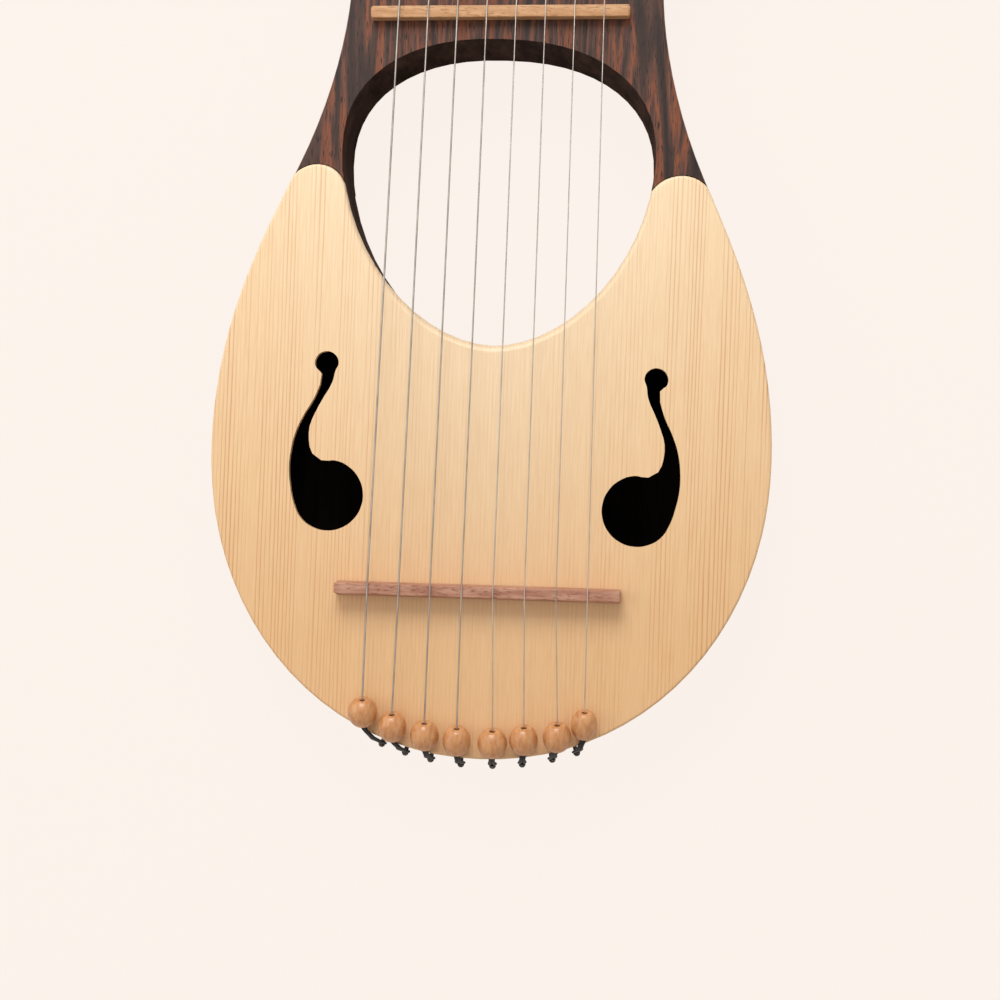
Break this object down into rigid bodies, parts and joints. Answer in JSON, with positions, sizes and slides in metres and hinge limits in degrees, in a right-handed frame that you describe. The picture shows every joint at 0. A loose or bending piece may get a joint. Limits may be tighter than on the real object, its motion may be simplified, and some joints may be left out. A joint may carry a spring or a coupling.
{
  "type": "lyre harp",
  "caption": "Small lyre harp: a spruce board with note-shaped sound holes on a dark wood frame round an oval hand hole, strings on tuning pins, wooden beads at the tail.",
  "frame": {"origin": "middle of the instrument's box in x and y, on the plane that its flat back rests on", "axes": "+X across the face to the right as the player's audience sees it, +Y from the tail towards the head, +Z out of the face"},
  "size_m": [0.2402, 0.4071, 0.065],
  "materials": {
    "rosewood": "oiled satin, dark brown with reddish and black streaks",
    "spruce": "satin lacquer, fine straight grain along the strings",
    "spruce_bar": "planed, unfinished",
    "beech": "sanded, light oil",
    "bridge_wood": "sanded, reddish with short flecks",
    "bead_wood": "turned and polished",
    "pin_steel": "nickel-plated steel",
    "string_steel": "bright steel wire, wound on the bass side",
    "screw_steel": "blackened steel",
    "black_cord": "black braided cord"
  },
  "bodies": {
    "instrument": {"frame": "rosewood", "soundboard": "spruce", "back_plate": "rosewood", "brace_upper": "spruce_bar", "brace_lower": "spruce_bar", "tail_block": "spruce_bar", "nut": "beech", "bridge": "bridge_wood", "string_1": "string_steel", "string_2": "string_steel", "string_3": "string_steel", "string_4": "string_steel", "string_5": "string_steel", "string_6": "string_steel", "string_7": "string_steel", "string_8": "string_steel", "bead_1": "bead_wood", "bead_2": "bead_wood", "bead_3": "bead_wood", "bead_4": "bead_wood", "bead_5": "bead_wood", "bead_6": "bead_wood", "bead_7": "bead_wood", "bead_8": "bead_wood", "tail_cord_1": "black_cord", "tail_cord_2": "black_cord", "tail_cord_3": "black_cord", "tail_cord_4": "black_cord", "tail_cord_5": "black_cord", "tail_cord_6": "black_cord", "tail_cord_7": "black_cord", "tail_cord_8": "black_cord", "hitch_screw_1": "screw_steel", "hitch_screw_2": "screw_steel", "hitch_screw_3": "screw_steel", "hitch_screw_4": "screw_steel", "hitch_screw_5": "screw_steel", "hitch_screw_6": "screw_steel", "hitch_screw_7": "screw_steel", "hitch_screw_8": "screw_steel"},
    "pin_1": {"tuning_pin_1": "pin_steel", "string_winding_1": "string_steel"},
    "pin_2": {"tuning_pin_2": "pin_steel", "string_winding_2": "string_steel"},
    "pin_3": {"tuning_pin_3": "pin_steel", "string_winding_3": "string_steel"},
    "pin_4": {"tuning_pin_4": "pin_steel", "string_winding_4": "string_steel"},
    "pin_5": {"tuning_pin_5": "pin_steel", "string_winding_5": "string_steel"},
    "pin_6": {"tuning_pin_6": "pin_steel", "string_winding_6": "string_steel"},
    "pin_7": {"tuning_pin_7": "pin_steel", "string_winding_7": "string_steel"},
    "pin_8": {"tuning_pin_8": "pin_steel", "string_winding_8": "string_steel"}
  },
  "joints": [
    {"name": "pin_1_turn", "type": "hinge", "parent": "instrument", "child": "pin_1", "pos_m": [-0.04167, 0.1617, 0.044], "axis": [0, 0, 1], "continuous": true},
    {"name": "pin_2_turn", "type": "hinge", "parent": "instrument", "child": "pin_2", "pos_m": [-0.02945, 0.1568, 0.044], "axis": [0, 0, 1], "continuous": true},
    {"name": "pin_3_turn", "type": "hinge", "parent": "instrument", "child": "pin_3", "pos_m": [-0.01718, 0.15354, 0.044], "axis": [0, 0, 1], "continuous": true},
    {"name": "pin_4_turn", "type": "hinge", "parent": "instrument", "child": "pin_4", "pos_m": [-0.00487, 0.1519, 0.044], "axis": [0, 0, 1], "continuous": true},
    {"name": "pin_5_turn", "type": "hinge", "parent": "instrument", "child": "pin_5", "pos_m": [0.00743, 0.1519, 0.044], "axis": [0, 0, 1], "continuous": true},
    {"name": "pin_6_turn", "type": "hinge", "parent": "instrument", "child": "pin_6", "pos_m": [0.01976, 0.15354, 0.044], "axis": [0, 0, 1], "continuous": true},
    {"name": "pin_7_turn", "type": "hinge", "parent": "instrument", "child": "pin_7", "pos_m": [0.03208, 0.1568, 0.044], "axis": [0, 0, 1], "continuous": true},
    {"name": "pin_8_turn", "type": "hinge", "parent": "instrument", "child": "pin_8", "pos_m": [0.04438, 0.1617, 0.044], "axis": [0, 0, 1], "continuous": true}
  ]
}
